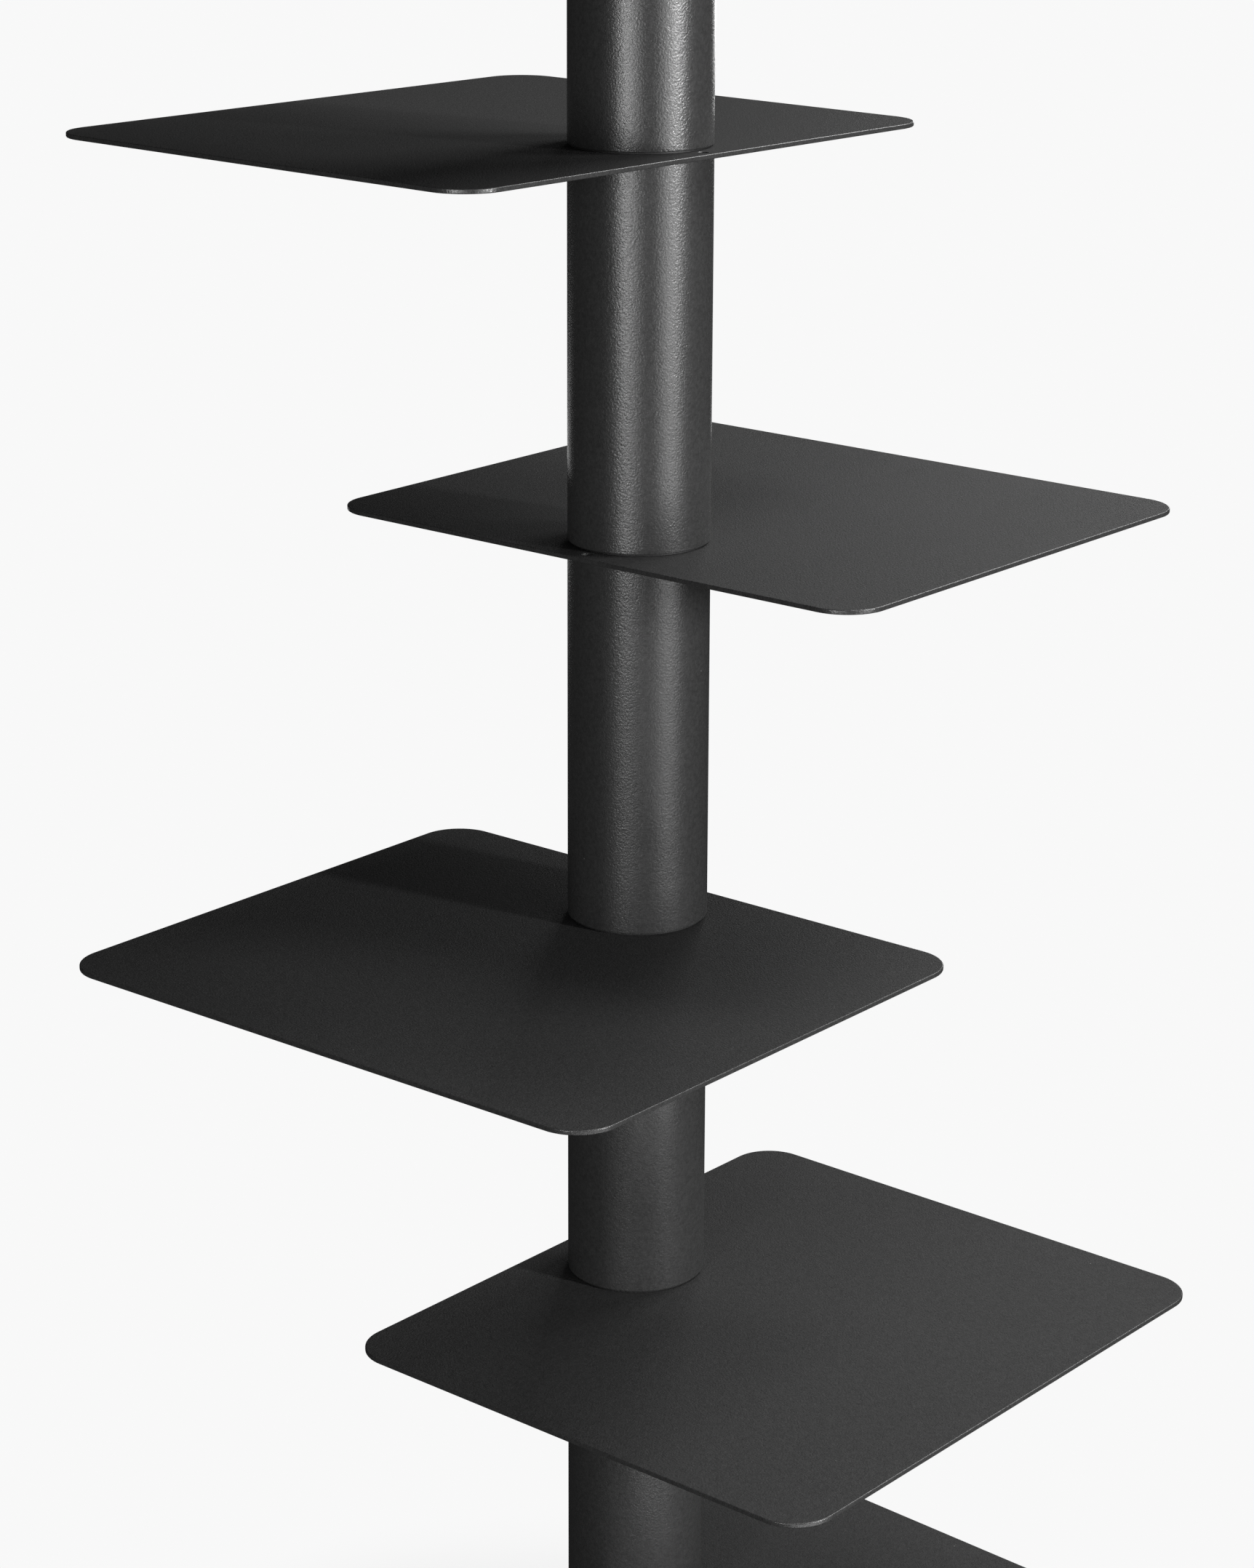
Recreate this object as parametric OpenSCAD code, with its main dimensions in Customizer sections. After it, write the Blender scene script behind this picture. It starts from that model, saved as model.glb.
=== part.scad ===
// Spine bookshelf: sheet steel shelves that swivel one by one on a round column.
// The column is a stack of tubes on a heavy base plate, and one tie rod draws it together.
// Lengths are in millimetres. The floor is at z = 0 and the column's axis is at x = y = 0.

/* [Column] */
// Outer diameter of the column's tubes
tube_od = 88.9; // [76.1:0.1:101.6]
// Wall of the column's tubes
tube_wall = 3; // [2:0.1:4]
// Length of one tube, from shelf to shelf
tube_len = 240; // [180:1:320]

/* [Shelves] */
// Depth of a shelf, from its near edge to its far edge
shelf_depth = 360; // [300:1:420]
// Width of a shelf, along its near edge
shelf_width = 420; // [340:1:480]
// Sheet thickness of a shelf
shelf_t = 3; // [2:0.1:5]
// Radius of a shelf's corners
shelf_corner_r = 28; // [10:0.5:45]
// Distance from the column's axis to a shelf's near edge
shelf_near = 59; // [56:1:90]
// Diameter of the small hole that a shelf hangs by while it is coated
hang_hole_d = 6; // [4:0.1:8]
// Distance from the near edge to the small hole's centre
hang_hole_inset = 9; // [6:0.1:11]

/* [Swivel] */
// Diameter of the hub that a shelf turns on
hub_d = 40; // [30:0.1:50]
// Length of the hub that stands in the next tube's foot plug
hub_engage = 6; // [4:0.1:9]
// Thickness of the plugs in the tubes' ends
plug_t = 12; // [10:0.1:20]
// Thickness of the friction washers above and below a shelf
washer_t = 1; // [0.5:0.1:2]
// How far the friction washers stand back from the column's surface
washer_recess = 1.5; // [0.5:0.1:5]

/* [Base] */
// Width and depth of the base plate
base_w = 450; // [380:1:560]
// Thickness of the base plate
base_t = 10; // [8:0.1:16]
// Radius of the base plate's corners
base_corner_r = 28; // [10:0.5:60]
// Thickness of the floor mat under the base plate
mat_t = 2; // [1:0.1:4]
// How far the floor mat stands back from the base plate's edge
mat_inset = 2; // [0.5:0.1:6]
// Height of the hub that centres the lowest tube on the base plate
base_hub_h = 26; // [24:0.1:40]

/* [Tie rod and top] */
// Thread diameter of the tie rod
rod_d = 16; // [12:0.1:18]
// Width across the tie nut's flats
nut_flats = 24; // [21:0.1:27]
// Height of the tie nut
nut_h = 13; // [10:0.1:16]
// Outer diameter of the disc springs
spring_d = 31.5; // [28:0.1:36]
// Diameter of the nut's pocket in the clamp disc
pocket_d = 44; // [42:0.1:52]
// Thickness of the clamp disc's rim, which bears on the highest tube
clamp_rim_t = 4; // [3:0.1:8]
// Thickness of the cap over the pocket
cap_t = 3; // [2:0.1:6]

/* [Base screws] */
// Thread diameter of the screws that hold the base hub
screw_d = 8; // [6:0.1:9]
// Length of the screws over their heads
screw_len = 25; // [20:0.1:28]
// Diameter of the circle that the screws stand on
screw_circle_d = 56; // [48:0.1:62]

/* [Hidden] */
// How far round each shelf is turned, in degrees from +X, from the lowest to the highest.
// They were set by hand, so they stand a little off the square.
shelf_headings = [267.5, 269.4, 180.2, 0, 87.7, 180];
shelf_count = len(shelf_headings);
tube_count = shelf_count + 1;

// Clearances, each on the radius unless it says otherwise
run_gap = 0.05;
slip_gap = 0.1;
washer_gap = 0.5;
rod_gap = 0.5;
screw_gap = 0.5;
hub_end_gap = 0.5;
screw_end_gap = 3;
overrun = 1;

tube_id = tube_od - 2 * tube_wall;
washer_od = tube_od - 2 * washer_recess;
joint_h = shelf_t + 2 * washer_t;
base_top = mat_t + base_t;

// Screw heads
screw_head_d = 2 * screw_d;
screw_head_h = (screw_head_d - screw_d) / 2;
screw_key_share = 0.62;
screw_key_depth_share = 0.7;
screw_angles = [45, 135, 225, 315];

// What lies on the clamp disc's web, from the bottom up
clamp_web_t = 10;
spring_t = 1.75;
spring_cone_h = 0.7;
spring_h = spring_t + spring_cone_h;
tie_washer_d = 30;
tie_washer_t = 3;
rod_end = 3;
cap_room = 2;
stack_h = 2 * spring_h + tie_washer_t + nut_h;
pocket_depth = stack_h + rod_end + cap_room;
clamp_spigot_h = pocket_depth - clamp_rim_t + clamp_web_t;

// The cap
cap_skirt_h = 8;
cap_skirt_wall = 2;
cap_chamfer = 0.8;

// The nut's chamfer leaves a round face of this share of its flats
nut_face_share = 0.95;
hexagon = 6;
$fn = 96;

// Height of the upper end of tube n
function tube_top(n) = base_top + n * tube_len + (n - 1) * joint_h;
// Height of the underside of shelf n
function shelf_z(n) = tube_top(n) + washer_t;

column_top = tube_top(tube_count);
web_top = column_top + clamp_rim_t - pocket_depth;
nut_z = web_top + 2 * spring_h + tie_washer_t;
rod_top = nut_z + nut_h + rod_end;

function numbered(name, count) = [for (n = [1:count]) str(name, "_", n)];

// A hole along Z from z = 0 up to h, cut a little past both ends
module through_hole(d, h) {
    translate([0, 0, -overrun]) cylinder(d = d, h = h + 2 * overrun);
}

// A flat ring that stands on z = 0
module ring(d_out, d_in, h) {
    difference() {
        cylinder(d = d_out, h = h);
        through_hole(d_in, h);
    }
}

// A plate with round corners, centred on the Z axis, that stands on z = 0
module rounded_plate(size_x, size_y, corner_r, t) {
    linear_extrude(height = t) {
        square([size_x - 2 * corner_r, size_y], center = true);
        square([size_x, size_y - 2 * corner_r], center = true);
        for (side_x = [-1, 1], side_y = [-1, 1]) {
            translate([side_x * (size_x / 2 - corner_r), side_y * (size_y / 2 - corner_r)])
                circle(r = corner_r);
        }
    }
}

module at_base_screws() {
    for (a = screw_angles) {
        rotate([0, 0, a]) translate([screw_circle_d / 2, 0, 0]) children();
    }
}

// The outline of a countersunk screw with its flat head face at z = 0, wider all round by gap
module countersunk(d, head_d, head_h, length, gap) {
    cylinder(d = d + 2 * gap, h = length);
    cylinder(d1 = head_d + 2 * gap, d2 = d + 2 * gap, h = head_h);
}

module floor_mat() {
    color("#1c1c1d")
        rounded_plate(base_w - 2 * mat_inset, base_w - 2 * mat_inset, base_corner_r - mat_inset, mat_t);
}

module base_plate() {
    color("#2b2c2e") translate([0, 0, mat_t]) difference() {
        rounded_plate(base_w, base_w, base_corner_r, base_t);
        at_base_screws() {
            through_hole(screw_d + 2 * screw_gap, base_t);
            countersunk(screw_d, screw_head_d, screw_head_h, base_t, screw_gap);
        }
    }
}

// Centres the lowest tube, and its thread takes the lower end of the tie rod
module base_hub() {
    color("#8b8e92") translate([0, 0, base_top]) difference() {
        cylinder(d = tube_id - 2 * slip_gap, h = base_hub_h);
        through_hole(rod_d, base_hub_h);
        at_base_screws() translate([0, 0, -overrun])
            cylinder(d = screw_d, h = screw_len - base_t + screw_end_gap + overrun);
    }
}

module base_screws() {
    key_depth = screw_key_depth_share * screw_head_h;
    color("#5d6063") translate([0, 0, mat_t]) at_base_screws() difference() {
        countersunk(screw_d, screw_head_d, screw_head_h, screw_len, 0);
        translate([0, 0, -overrun])
            cylinder(d = screw_key_share * screw_d, h = key_depth + overrun, $fn = hexagon);
    }
}

module tie_rod() {
    color("#9a9da1") translate([0, 0, base_top]) cylinder(d = rod_d, h = rod_top - base_top);
}

module tube(n) {
    color("#2b2c2e") translate([0, 0, tube_top(n) - tube_len]) ring(tube_od, tube_id, tube_len);
}

// Closes the upper end of tube n; its hub carries shelf n and centres the next tube
module swivel_hub(n) {
    hub_h = plug_t + joint_h + hub_engage;
    color("#8b8e92") translate([0, 0, tube_top(n) - plug_t]) difference() {
        union() {
            cylinder(d = tube_id, h = plug_t);
            cylinder(d = hub_d, h = hub_h);
        }
        through_hole(rod_d + 2 * rod_gap, hub_h);
    }
}

module friction_washer() {
    color("#151516") ring(washer_od, hub_d + 2 * washer_gap, washer_t);
}

module lower_washer(n) {
    translate([0, 0, tube_top(n)]) friction_washer();
}

module shelf(n) {
    hole_x = hang_hole_inset - shelf_near;
    color("#2b2c2e") translate([0, 0, shelf_z(n)]) rotate([0, 0, shelf_headings[n - 1]]) difference() {
        translate([shelf_depth / 2 - shelf_near, 0, 0])
            rounded_plate(shelf_depth, shelf_width, shelf_corner_r, shelf_t);
        through_hole(hub_d + 2 * run_gap, shelf_t);
        translate([hole_x, 0, 0]) through_hole(hang_hole_d, shelf_t);
    }
}

module upper_washer(n) {
    translate([0, 0, shelf_z(n) + shelf_t]) friction_washer();
}

// Closes the lower end of the tube above shelf n; the hub below stands in its socket
module foot_plug(n) {
    color("#8b8e92") translate([0, 0, tube_top(n) + joint_h]) difference() {
        cylinder(d = tube_id, h = plug_t);
        through_hole(rod_d + 2 * rod_gap, plug_t);
        translate([0, 0, -overrun])
            cylinder(d = hub_d + 2 * slip_gap, h = hub_engage + hub_end_gap + overrun);
    }
}

// Its rim bears on the highest tube and its web takes the pull of the tie rod
module clamp_disc() {
    spigot_z = column_top - clamp_spigot_h;
    color("#2b2c2e") difference() {
        union() {
            translate([0, 0, spigot_z]) cylinder(d = tube_id - 2 * slip_gap, h = clamp_spigot_h);
            translate([0, 0, column_top]) cylinder(d = tube_od, h = clamp_rim_t);
        }
        translate([0, 0, web_top]) cylinder(d = pocket_d, h = pocket_depth + overrun);
        translate([0, 0, spigot_z]) through_hole(rod_d + 2 * rod_gap, clamp_web_t);
    }
}

// A cone washer whose outer edge stands on z = 0
module disc_spring() {
    r_in = rod_d / 2 + rod_gap;
    r_out = spring_d / 2;
    color("#6f7377") rotate_extrude()
        polygon([[r_in, spring_cone_h], [r_out, 0], [r_out, spring_t], [r_in, spring_h]]);
}

module lower_disc_spring() {
    translate([0, 0, web_top]) disc_spring();
}

module upper_disc_spring() {
    translate([0, 0, web_top + 2 * spring_h]) mirror([0, 0, 1]) disc_spring();
}

module tie_washer() {
    color("#9a9da1") translate([0, 0, nut_z - tie_washer_t])
        ring(tie_washer_d, rod_d + 2 * rod_gap, tie_washer_t);
}

module tie_nut() {
    corner_r = nut_flats / 2 / cos(30);
    face_r = nut_face_share * nut_flats / 2;
    bevel_h = (corner_r - face_r) * tan(30);
    color("#9a9da1") translate([0, 0, nut_z]) difference() {
        intersection() {
            cylinder(r = corner_r, h = nut_h, $fn = hexagon);
            rotate_extrude() polygon([
                [0, 0], [face_r, 0], [corner_r, bevel_h],
                [corner_r, nut_h - bevel_h], [face_r, nut_h], [0, nut_h]
            ]);
        }
        through_hole(rod_d, nut_h);
    }
}

// Covers the pocket; its skirt is pushed into the clamp disc
module top_cap() {
    skirt_r = pocket_d / 2 - slip_gap;
    color("#2b2c2e") translate([0, 0, column_top + clamp_rim_t]) rotate_extrude() polygon([
        [0, 0], [skirt_r - cap_skirt_wall, 0], [skirt_r - cap_skirt_wall, -cap_skirt_h],
        [skirt_r, -cap_skirt_h], [skirt_r, 0], [tube_od / 2, 0],
        [tube_od / 2, cap_t - cap_chamfer], [tube_od / 2 - cap_chamfer, cap_t], [0, cap_t]
    ]);
}

floor_mat();
base_plate();
base_hub();
base_screws();
tie_rod();
for (n = [1:tube_count]) {
    tube(n);
}
for (n = [1:shelf_count]) {
    swivel_hub(n);
    lower_washer(n);
    shelf(n);
    upper_washer(n);
    foot_plug(n);
}
clamp_disc();
lower_disc_spring();
upper_disc_spring();
tie_washer();
tie_nut();
top_cap();
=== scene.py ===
import math

import bmesh
import bpy
from mathutils import Matrix, Vector


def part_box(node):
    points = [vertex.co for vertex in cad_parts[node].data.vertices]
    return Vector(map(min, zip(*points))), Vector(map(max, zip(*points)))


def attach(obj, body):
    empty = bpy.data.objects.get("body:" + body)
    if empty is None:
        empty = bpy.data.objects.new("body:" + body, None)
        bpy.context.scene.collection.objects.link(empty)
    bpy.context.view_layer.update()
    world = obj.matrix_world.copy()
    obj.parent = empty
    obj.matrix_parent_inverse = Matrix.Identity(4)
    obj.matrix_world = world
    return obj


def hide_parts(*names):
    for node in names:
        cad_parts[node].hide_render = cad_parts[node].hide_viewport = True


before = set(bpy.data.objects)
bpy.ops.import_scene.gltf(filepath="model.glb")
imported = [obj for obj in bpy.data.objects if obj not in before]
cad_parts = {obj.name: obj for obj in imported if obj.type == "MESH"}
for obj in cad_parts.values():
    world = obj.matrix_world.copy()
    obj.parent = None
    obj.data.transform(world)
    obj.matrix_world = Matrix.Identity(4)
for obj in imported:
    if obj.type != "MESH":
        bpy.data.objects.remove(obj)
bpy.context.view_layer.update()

# A black-coated steel bookshelf: six shelves that swivel one by one on a stacked column.
# Lengths are in metres, in the part's own frame.

# Sizes that the frame doesn't hold, as in the part's source
SHELF_HEADINGS_DEG = (267.5, 269.4, 180.2, 0, 87.7, 180)
SHELF_DEPTH, SHELF_WIDTH, SHELF_CORNER_R = 0.360, 0.420, 0.028
SHELF_NEAR = 0.059
HANG_HOLE_R, HANG_HOLE_X = 0.003, -0.050
HUB_HOLE_R = 0.02005
BASE_CORNER_R, MAT_INSET = 0.028, 0.002
SCREW_CIRCLE_R, SCREW_HOLE_R, SCREW_HEAD_R, SCREW_HEAD_H = 0.028, 0.0045, 0.0085, 0.004
TUBE_WALL = 0.003
SPIGOT_R, POCKET_R, ROD_HOLE_R = 0.04135, 0.022, 0.0085
CLAMP_RIM_T, CLAMP_WEB_T = 0.004, 0.010
CAP_SKIRT_R, CAP_SKIRT_WALL, CAP_SKIRT_H = 0.0219, 0.002, 0.008

# How far the coat rounds the edges, and how finely arcs and circles are cut
SHELF_ARRIS, TUBE_ARRIS, FINE_ARRIS = 0.0007, 0.0006, 0.0003
BASE_ARRIS = CAP_ARRIS = 0.0012
ARRIS_STEPS, CORNER_STEPS, ROUND_STEPS, HOLE_STEPS = 4, 20, 160, 48

# An edge's path starts and ends this far in on the flat faces. Only its direction counts.
FLAT = 1.0

# A face belongs to an edge, not to a flat, when its normal is less upright than this
LEVEL = 0.999


def arcs(path):
    """Rounds the inner corners of a path of (across, height, radius), with the solid on its right.

    Gives (across, height, normal across, normal height) for each point of the rounded run.
    """
    run = []
    for before, corner, after in zip(path, path[1:], path[2:]):
        here, radius = Vector(corner[:2]), corner[2]
        back = (Vector(before[:2]) - here).normalized()
        ahead = (Vector(after[:2]) - here).normalized()
        half = back.angle(ahead) / 2
        centre = here + (back + ahead).normalized() * (radius / math.sin(half))
        first = here + back * (radius / math.tan(half)) - centre
        last = here + ahead * (radius / math.tan(half)) - centre
        start = math.atan2(first.y, first.x)
        sweep = (math.atan2(last.y, last.x) - start + math.pi) % (2 * math.pi) - math.pi
        facing = 1 if back.y * ahead.x - back.x * ahead.y < 0 else -1
        for step in range(ARRIS_STEPS + 1):
            angle = start + sweep * step / ARRIS_STEPS
            c, s = math.cos(angle), math.sin(angle)
            run.append((centre.x + radius * c, centre.y + radius * s, facing * c, facing * s))
    return run


class Skin:
    """Gathers the points, normals and faces of one piece."""

    def __init__(self):
        self.points, self.normals, self.faces, self.rims = [], [], [], []

    def ring(self, places):
        first = len(self.points)
        for point, normal in places:
            self.points.append(point)
            self.normals.append(normal)
        return range(first, len(self.points))

    def band(self, a, b):
        for k in range(len(a)):
            j = (k + 1) % len(a)
            self.faces.append((a[k], a[j], b[j], b[k]))

    def fan(self, centre, normal, rim):
        hub = self.ring([(centre, normal)])[0]
        for k in range(len(rim)):
            self.faces.append((hub, rim[k], rim[(k + 1) % len(rim)]))

    def make(self, name, body, finish, slot, *nodes, place=Matrix.Identity(4), edge_finish=None):
        mesh = bpy.data.meshes.new(name)
        mesh.from_pydata(self.points, [], self.faces)
        work = bmesh.new()
        work.from_mesh(mesh)
        work.verts.ensure_lookup_table()
        for rims in self.rims:
            edges = [
                work.edges.get((work.verts[rim[k]], work.verts[rim[(k + 1) % len(rim)]]))
                for rim in rims for k in range(len(rim))
            ]
            bmesh.ops.triangle_fill(work, edges=edges, use_beauty=True, use_dissolve=False)
        bmesh.ops.recalc_face_normals(work, faces=work.faces[:])
        for face in work.faces:
            face.smooth = True
            if edge_finish and abs(face.normal.z) < LEVEL:
                face.material_index = 1
        work.to_mesh(mesh)
        work.free()
        mesh.transform(place)
        turn = place.to_3x3()
        mesh.normals_split_custom_set_from_vertices([turn @ Vector(n) for n in self.normals])
        piece = bpy.data.objects.new(name, mesh)
        bpy.context.scene.collection.objects.link(piece)
        piece.data.materials.append(finish)
        if edge_finish:
            piece.data.materials.append(edge_finish)
        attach(piece, body)
        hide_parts(*nodes)


def circle(steps):
    angles = [2 * math.pi * k / steps for k in range(steps)]
    return [(math.cos(angle), math.sin(angle)) for angle in angles]


def turned(section, base_z=0.0):
    """A turned part round the Z axis.

    Its section runs clockwise, and is open where it starts on the axis.
    """
    solid = section[0][0] == 0
    run = arcs(section if solid else [section[-1], *section, section[0]])
    skin = Skin()
    rings = [
        skin.ring([
            ((x * c, x * s, base_z + z), (nx * c, nx * s, nz)) for c, s in circle(ROUND_STEPS)
        ])
        for x, z, nx, nz in run
    ]
    for a, b in zip(rings, rings[1:]):
        skin.band(a, b)
    if solid:
        skin.fan((0, 0, base_z + section[0][1]), (0, 0, 1), rings[0])
        skin.fan((0, 0, base_z + section[-1][1]), (0, 0, -1), rings[-1])
    else:
        skin.band(rings[-1], rings[0])
    return skin


def edge_path(thickness, arris):
    return [(FLAT, 0, 0), (0, 0, arris), (0, thickness, arris), (FLAT, thickness, 0)]


def sheet_part(size_x, size_y, corner_r, edge, holes):
    """A flat part with round corners.

    Its edge and each hole's rim are paths, and the holes are rows of (x, y, radius, path).
    """
    skin = Skin()
    corners = []
    for quarter, (sx, sy) in enumerate(((1, 1), (-1, 1), (-1, -1), (1, -1))):
        for step in range(CORNER_STEPS + 1):
            angle = (quarter + step / CORNER_STEPS) * math.pi / 2
            x, y = sx * (size_x / 2 - corner_r), sy * (size_y / 2 - corner_r)
            corners.append((x, y, math.cos(angle), math.sin(angle)))
    loops = [(corners, corner_r, 1, edge)]
    for x, y, radius, path in holes:
        loops.append(([(x, y, c, s) for c, s in circle(HOLE_STEPS)], radius, -1, path))
    lowest, highest = [], []
    for spots, radius, side, path in loops:
        rings = []
        for across, z, facing, nz in arcs(path):
            reach = radius - side * across
            rings.append(skin.ring([
                ((x + reach * c, y + reach * s, z), (-side * facing * c, -side * facing * s, nz))
                for x, y, c, s in spots
            ]))
        for a, b in zip(rings, rings[1:]):
            skin.band(a, b)
        lowest.append(rings[0])
        highest.append(rings[-1])
    skin.rims = [lowest, highest]
    return skin


# Shader maths

class Wire:
    """One socket of a shader. Arithmetic on it adds Math nodes, and make() adds any other node."""

    def __init__(self, tree, socket=None):
        self.tree, self.socket = tree, socket

    def make(self, kind, settings, sockets, out=0):
        node = self.tree.nodes.new(kind)
        for name, value in settings.items():
            setattr(node, name, value)
        for name, value in sockets.items():
            if isinstance(value, Wire):
                self.tree.links.new(value.socket, node.inputs[name])
            else:
                node.inputs[name].default_value = value
        return Wire(self.tree, node.outputs[out])

    def math(self, operation, *values):
        return self.make("ShaderNodeMath", {"operation": operation}, dict(enumerate(values)))

    def __add__(self, other):
        return self.math("ADD", self, other)

    def __mul__(self, other):
        return self.math("MULTIPLY", self, other)

    __radd__, __rmul__ = __add__, __mul__


def grey(level, tint=(1, 1, 1)):
    return tuple(level * t for t in tint) + (1,)


def new_finish(name, settings):
    """A Principled material. Gives it, its shader node, and a wire with object coordinates."""
    finish = bpy.data.materials.new(name)
    finish.use_nodes = True
    shader = finish.node_tree.nodes["Principled BSDF"]
    for socket, value in settings.items():
        shader.inputs[socket].default_value = value
    place = Wire(finish.node_tree).make("ShaderNodeTexCoord", {}, {}, "Object")
    return finish, shader, place


def feed(shader, **sockets):
    for name, wire in sockets.items():
        wire.tree.links.new(wire.socket, shader.inputs[name.replace("_", " ")])


def noise(place, scale, detail=2.0, roughness=0.5):
    return place.make("ShaderNodeTexNoise", {}, {
        "Vector": place, "Scale": scale, "Detail": detail, "Roughness": roughness})


def shades(factor, dark, light):
    """A Mix node for colours. Its colour sockets go by number, because their names repeat."""
    return factor.make("ShaderNodeMix", {"data_type": "RGBA"}, {0: factor, 6: dark, 7: light}, 2)


def bump(height, distance):
    return height.make("ShaderNodeBump", {}, {"Height": height, "Distance": distance})


# Scales are in marks to the metre. A "dulls" value is what a mark adds to the roughness.

COAT_DARK, COAT_LIGHT, COAT_IOR = 0.011, 0.045, 1.5
PEEL_SCALE, PEEL_DETAIL, PEEL_ROUGHNESS, PEEL_DULLS = 780, 2.5, 0.6, 0.19
MOTTLE_SCALE, MOTTLE_DETAIL, MOTTLE_ROUGHNESS = 420, 3, 0.7
CLOUD_SCALE, CLOUD_DETAIL, CLOUD_DULLS = 9, 3, 0.05
SPECK_SCALE, SPECK_SIZE, SPECK_LEVEL = 38, 0.016, 0.12


def coat_finish(name, gloss, dulled, peel_depth):
    """Black powder coat: fine orange peel, a mottled colour, faint clouds and a few pale specks."""
    finish, shader, place = new_finish(name, {"IOR": COAT_IOR, "Specular IOR Level": gloss})
    peel = noise(place, PEEL_SCALE, PEEL_DETAIL, PEEL_ROUGHNESS)
    mottle = noise(place, MOTTLE_SCALE, MOTTLE_DETAIL, MOTTLE_ROUGHNESS)
    clouds = noise(place, CLOUD_SCALE, CLOUD_DETAIL)
    cells = place.make("ShaderNodeTexVoronoi", {}, {"Vector": place, "Scale": SPECK_SCALE}, 0)
    speck = cells.math("LESS_THAN", cells, SPECK_SIZE)
    coat = shades(mottle, grey(COAT_DARK), grey(COAT_LIGHT))
    feed(
        shader,
        Base_Color=shades(speck, coat, grey(SPECK_LEVEL)),
        Roughness=dulled + CLOUD_DULLS * clouds + PEEL_DULLS * peel,
        Normal=bump(peel, peel_depth),
    )
    return finish


METAL_DARKER, METAL_LIGHTER, METAL_CLOUD_SCALE = 0.8, 1.15, 60
MARK_DETAIL, MARK_DULLS, MARK_DEPTH = 3, 0.18, 0.00004


def metal_finish(name, level, tint, dulled, mark_scale, packing):
    """Bare or plated metal. Packing says how much closer its tool marks lie along each axis."""
    finish, shader, place = new_finish(name, {"Metallic": 1.0})
    packed = place.make("ShaderNodeMapping", {}, {"Vector": place, "Scale": packing})
    marks = noise(packed, mark_scale, MARK_DETAIL)
    clouds = noise(place, METAL_CLOUD_SCALE)
    feed(
        shader,
        Base_Color=shades(
            clouds, grey(level * METAL_DARKER, tint), grey(level * METAL_LIGHTER, tint)),
        Roughness=dulled + MARK_DULLS * marks,
        Normal=bump(marks, MARK_DEPTH),
    )
    return finish


def moulded_finish(name, gloss, cloud_scale, dark, light, dulled, grain_dulls, grain, depth):
    """Moulded plastic or rubber. Its grain is a pair: scale and detail."""
    finish, shader, place = new_finish(name, {"Specular IOR Level": gloss})
    skin_grain = noise(place, *grain)
    feed(
        shader,
        Base_Color=shades(noise(place, cloud_scale), grey(dark), grey(light)),
        Roughness=dulled + grain_dulls * skin_grain,
        Normal=bump(skin_grain, depth),
    )
    return finish


TUBE_COAT = coat_finish(
    "black_powder_coat_on_tube", gloss=0.5, dulled=0.160, peel_depth=0.00021)
SHEET_COAT = coat_finish(
    "black_powder_coat_on_sheet", gloss=0.12, dulled=0.53, peel_depth=0.00040)
TURNED_STEEL = metal_finish(
    "turned_steel", level=0.50, tint=(1, 0.99, 0.97), dulled=0.24, mark_scale=900,
    packing=(1, 1, 6))
ZINC = metal_finish(
    "zinc_plate", level=0.62, tint=(0.97, 0.99, 1), dulled=0.28, mark_scale=700,
    packing=(1, 1, 1))
SPRING = metal_finish(
    "spring_steel", level=0.32, tint=(0.96, 0.98, 1), dulled=0.30, mark_scale=1100,
    packing=(1, 1, 3))
NYLON = moulded_finish(
    "black_nylon", gloss=0.4, cloud_scale=300, dark=0.008, light=0.016,
    dulled=0.48, grain_dulls=0.12, grain=(2600, 2), depth=0.00003)
RUBBER = moulded_finish(
    "black_rubber", gloss=0.3, cloud_scale=40, dark=0.010, light=0.022,
    dulled=0.78, grain_dulls=0.15, grain=(1500, 3), depth=0.00012)

# The shelves

SHELF_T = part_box("shelf_1")[1].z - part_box("shelf_1")[0].z
shelf_edge = edge_path(SHELF_T, SHELF_ARRIS)
middle_x = SHELF_DEPTH / 2 - SHELF_NEAR
for number, heading in enumerate(SHELF_HEADINGS_DEG, 1):
    node = f"shelf_{number}"
    at_height = Matrix.Translation((0, 0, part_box(node)[0].z))
    turned_to = Matrix.Rotation(math.radians(heading), 4, "Z")
    shelf = sheet_part(SHELF_DEPTH, SHELF_WIDTH, SHELF_CORNER_R, shelf_edge, [
        (-middle_x, 0, HUB_HOLE_R, shelf_edge),
        (HANG_HOLE_X - middle_x, 0, HANG_HOLE_R, shelf_edge),
    ])
    shelf.make(f"steel_shelf_{number}", f"swivel_shelf_{number}", SHEET_COAT, "black_coat", node,
               place=at_height @ turned_to @ Matrix.Translation((middle_x, 0, 0)),
               edge_finish=TUBE_COAT)

# The column's tubes

for number in range(1, len(SHELF_HEADINGS_DEG) + 2):
    node = f"tube_{number}"
    low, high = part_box(node)
    radius, length = high.x, high.z - low.z
    tube = turned([
        (radius - TUBE_WALL, 0, FINE_ARRIS), (radius - TUBE_WALL, length, FINE_ARRIS),
        (radius, length, TUBE_ARRIS), (radius, 0, TUBE_ARRIS),
    ], low.z)
    tube.make(f"column_tube_{number}", "column", TUBE_COAT, "black_coat", node)

# The base

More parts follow.
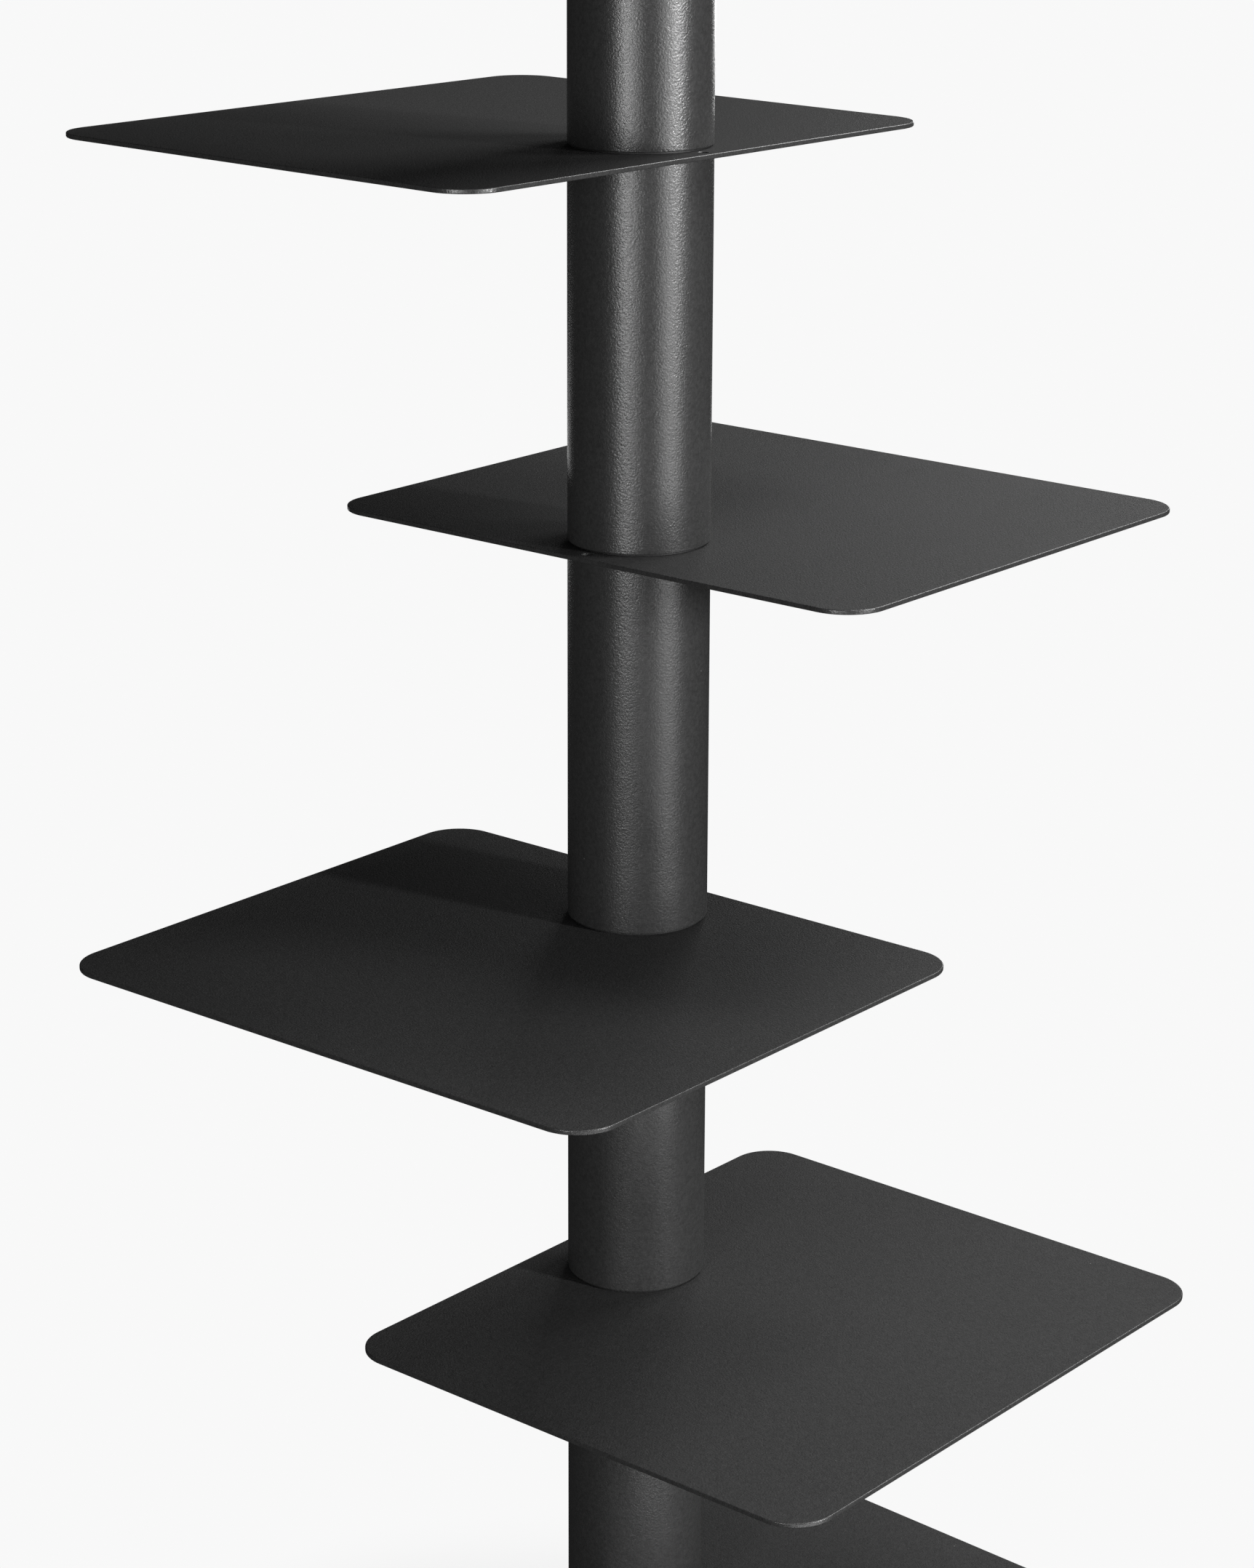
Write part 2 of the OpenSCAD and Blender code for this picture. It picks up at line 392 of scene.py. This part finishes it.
low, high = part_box("base_plate")
base_t = high.z - low.z
screw_rim = [
    (FLAT, 0, 0), (SCREW_HEAD_R - SCREW_HOLE_R, 0, FINE_ARRIS),
    (0, SCREW_HEAD_H, FINE_ARRIS), (0, base_t, FINE_ARRIS), (FLAT, base_t, 0),
]
screw_at = SCREW_CIRCLE_R / math.sqrt(2)
base_edge = edge_path(base_t, BASE_ARRIS)
base = sheet_part(high.x - low.x, high.y - low.y, BASE_CORNER_R, base_edge, [
    (sx * screw_at, sy * screw_at, SCREW_HOLE_R, screw_rim) for sx in (-1, 1) for sy in (-1, 1)
])
base.make("floor_plate", "column", SHEET_COAT, "black_coat", "base_plate",
          place=Matrix.Translation((0, 0, low.z)), edge_finish=TUBE_COAT)

low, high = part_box("floor_mat")
mat = sheet_part(high.x - low.x, high.y - low.y, BASE_CORNER_R - MAT_INSET,
                 edge_path(high.z - low.z, FINE_ARRIS), [])
mat.make("rubber_floor_mat", "column", RUBBER, "black_rubber", "floor_mat")

# The top

low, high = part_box("clamp_disc")
rim_r, rim_low, rim_high = high.x, high.z - CLAMP_RIM_T, high.z
web_top = low.z + CLAMP_WEB_T
clamp = turned([
    (POCKET_R, rim_high, FINE_ARRIS), (rim_r, rim_high, TUBE_ARRIS),
    (rim_r, rim_low, TUBE_ARRIS), (SPIGOT_R, rim_low, FINE_ARRIS),
    (SPIGOT_R, low.z, FINE_ARRIS), (ROD_HOLE_R, low.z, FINE_ARRIS),
    (ROD_HOLE_R, web_top, FINE_ARRIS), (POCKET_R, web_top, FINE_ARRIS),
])
clamp.make("clamp_rim", "column", TUBE_COAT, "black_coat", "clamp_disc")

low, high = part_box("top_cap")
seat, skirt_in_r = low.z + CAP_SKIRT_H, CAP_SKIRT_R - CAP_SKIRT_WALL
cap = turned([
    (0, high.z, 0), (rim_r, high.z, CAP_ARRIS), (rim_r, seat, FINE_ARRIS),
    (CAP_SKIRT_R, seat, FINE_ARRIS), (CAP_SKIRT_R, low.z, FINE_ARRIS),
    (skirt_in_r, low.z, FINE_ARRIS), (skirt_in_r, seat, FINE_ARRIS), (0, seat, 0),
])
cap.make("column_cap", "column", SHEET_COAT, "black_coat", "top_cap", edge_finish=TUBE_COAT)

# Finishes of the source's own parts, also of those that a piece above stands in for

SOURCE_FINISHES = {
    "base_hub": TURNED_STEEL, "swivel_hub": TURNED_STEEL, "foot_plug": TURNED_STEEL,
    "base_screws": ZINC, "tie_rod": ZINC, "tie_washer": ZINC, "tie_nut": ZINC,
    "lower_disc_spring": SPRING, "upper_disc_spring": SPRING,
    "lower_washer": NYLON, "upper_washer": NYLON, "floor_mat": RUBBER,
    "base_plate": SHEET_COAT, "shelf": SHEET_COAT,
    "tube": TUBE_COAT, "clamp_disc": TUBE_COAT, "top_cap": TUBE_COAT,
}
for name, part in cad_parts.items():
    family = name.rstrip("0123456789").rstrip("_")
    part.data.materials.clear()
    part.data.materials.append(SOURCE_FINISHES[family])

# The camera, as the photograph was taken

LONG_SIDE_PX, FOCAL_PX = 2156, 5072.2
SHIFT_X, SHIFT_Y = -0.01563, -0.07065
SENSOR_MM = 36
DOWN, ROLL, YAW, ABOUT = (math.radians(a) for a in (16.0009, 0.3065, 0.2117, -50.4))
CAMERA_FROM_AXIS, CAMERA_Z = 2.2230, 1.5421

ahead = Vector((math.sin(YAW) * math.cos(DOWN), math.cos(YAW) * math.cos(DOWN), -math.sin(DOWN)))
right = Vector((math.cos(YAW), -math.sin(YAW), 0))
above = right.cross(ahead)
turn = Matrix.Rotation(ABOUT, 3, "Z")
right, above = (
    turn @ (right * math.cos(ROLL) + above * math.sin(ROLL)),
    turn @ (above * math.cos(ROLL) - right * math.sin(ROLL)),
)
camera_data = bpy.data.cameras.new("photo_camera")
camera_data.sensor_width = SENSOR_MM
camera_data.lens = SENSOR_MM * FOCAL_PX / LONG_SIDE_PX
camera_data.shift_x, camera_data.shift_y = SHIFT_X, SHIFT_Y
camera = bpy.data.objects.new("photo_camera", camera_data)
bpy.context.scene.collection.objects.link(camera)
pose = Matrix((right, above, right.cross(above))).transposed().to_4x4()
camera.matrix_world = Matrix.Translation(turn @ Vector((0, -CAMERA_FROM_AXIS, CAMERA_Z))) @ pose
bpy.context.scene.camera = camera

# The studio. Each lamp has a bearing, a distance, a height, a width, a tallness and a power.
# The bearing is counted in degrees from the camera's right, away from the camera.

LAMPS = {
    "key_lamp": (-31.3, 3.2, 1.6, 0.20, 0.55, 104),
    "fill_strip": (-114, 3.0, 1.25, 0.42, 1.2, 31),
    "far_ceiling": (45, 2.2, 3.0, 1.2, 1.2, 47),
    "near_ceiling": (0, 1.1, 3.0, 0.4, 1.4, 36),
    "side_wall": (-48, 3.2, 1.75, 1.4, 0.9, 18),
    "side_foot": (-42, 3.0, 0.6, 1.6, 0.7, 23),
    "front_foot": (-104, 3.2, 0.8, 1.4, 0.9, 21),
    "front_glow": (-60, 1.7, 0.12, 1.8, 0.20, 2.5),
    "near_glow": (-60, 1.0, 0.12, 1.2, 0.16, 2.8),
    "back_foot": (75, 3.0, 1.2, 1.0, 0.5, 9),
    "back_wall": (75, 3.0, 2.4, 1.0, 0.5, 1.2),
    "back_glow": (100, 4.0, 0.12, 4.0, 0.16, 2.5),
}
LAMPS_AIM_Z = 0.95


def lamp(name, bearing, distance, height, width, tall, power):
    data = bpy.data.lights.new(name, "AREA")
    data.shape, data.size, data.size_y, data.energy = "RECTANGLE", width, tall, power
    item = bpy.data.objects.new(name, data)
    bpy.context.scene.collection.objects.link(item)
    angle = math.radians(bearing) + ABOUT
    item.location = (distance * math.cos(angle), distance * math.sin(angle), height)
    item.rotation_mode = "QUATERNION"
    aim = Vector((0, 0, LAMPS_AIM_Z)) - item.location
    item.rotation_quaternion = aim.to_track_quat("-Z", "Y")
    item.visible_camera = False


for name, row in LAMPS.items():
    lamp(name, *row)

# The background. It is white to the camera and through clear things. Glossy rays see it dark, as
# the coat in the photograph does, and it adds next to nothing to the light on the object.

WHITE, AMBIENT, SHEEN = 0.94, 0.01, 0.02
world = bpy.data.worlds.new("studio")
bpy.context.scene.world = world
world.use_nodes = True
backing = world.node_tree.nodes["Background"]
rays = Wire(world.node_tree).make("ShaderNodeLightPath", {}, {}).socket.node
seen, through, glossy = (
    Wire(world.node_tree, rays.outputs[f"Is {kind} Ray"])
    for kind in ("Camera", "Transmission", "Glossy")
)
strength = AMBIENT + (WHITE - AMBIENT) * (seen + through) + (SHEEN - AMBIENT) * glossy
world.node_tree.links.new(strength.socket, backing.inputs["Strength"])
backing.inputs["Color"].default_value = grey(1.0)

# The floor. It keeps the shadow within SHADOW_R, and from WHITE_R on it is as white as the
# background.

FLOOR_R, FLOOR_STEPS = 7.0, 96
FLOOR_LEVEL, FLOOR_ROUGHNESS = 0.66, 0.9
SHADOW_R, WHITE_R = 0.25, 0.6

floor_mesh = bpy.data.meshes.new("studio_floor")
sheet = bmesh.new()
bmesh.ops.create_circle(sheet, cap_ends=True, segments=FLOOR_STEPS, radius=FLOOR_R)
sheet.to_mesh(floor_mesh)
sheet.free()
floor = bpy.data.objects.new("studio_floor", floor_mesh)
bpy.context.scene.collection.objects.link(floor)
paint, shader, place = new_finish("studio_floor", {
    "Base Color": grey(FLOOR_LEVEL), "Roughness": FLOOR_ROUGHNESS})
out_from_base = place.make("ShaderNodeVectorMath", {"operation": "LENGTH"}, {0: place}, "Value")
far = place.make("ShaderNodeMapRange", {"interpolation_type": "SMOOTHSTEP"}, {
    "Value": out_from_base, "From Min": SHADOW_R, "From Max": WHITE_R})
seen = place.make("ShaderNodeLightPath", {}, {}, "Is Camera Ray")
glow = place.make("ShaderNodeEmission", {}, {"Color": grey(WHITE), "Strength": 1.0})
painted = Wire(paint.node_tree, shader.outputs[0])
surface = place.make("ShaderNodeMixShader", {}, {0: far * seen, 1: painted, 2: glow})
paint.node_tree.links.new(
    surface.socket, paint.node_tree.nodes["Material Output"].inputs["Surface"])
floor_mesh.materials.append(paint)
floor.visible_diffuse = floor.visible_glossy = False

bpy.context.scene.view_settings.view_transform = "Standard"
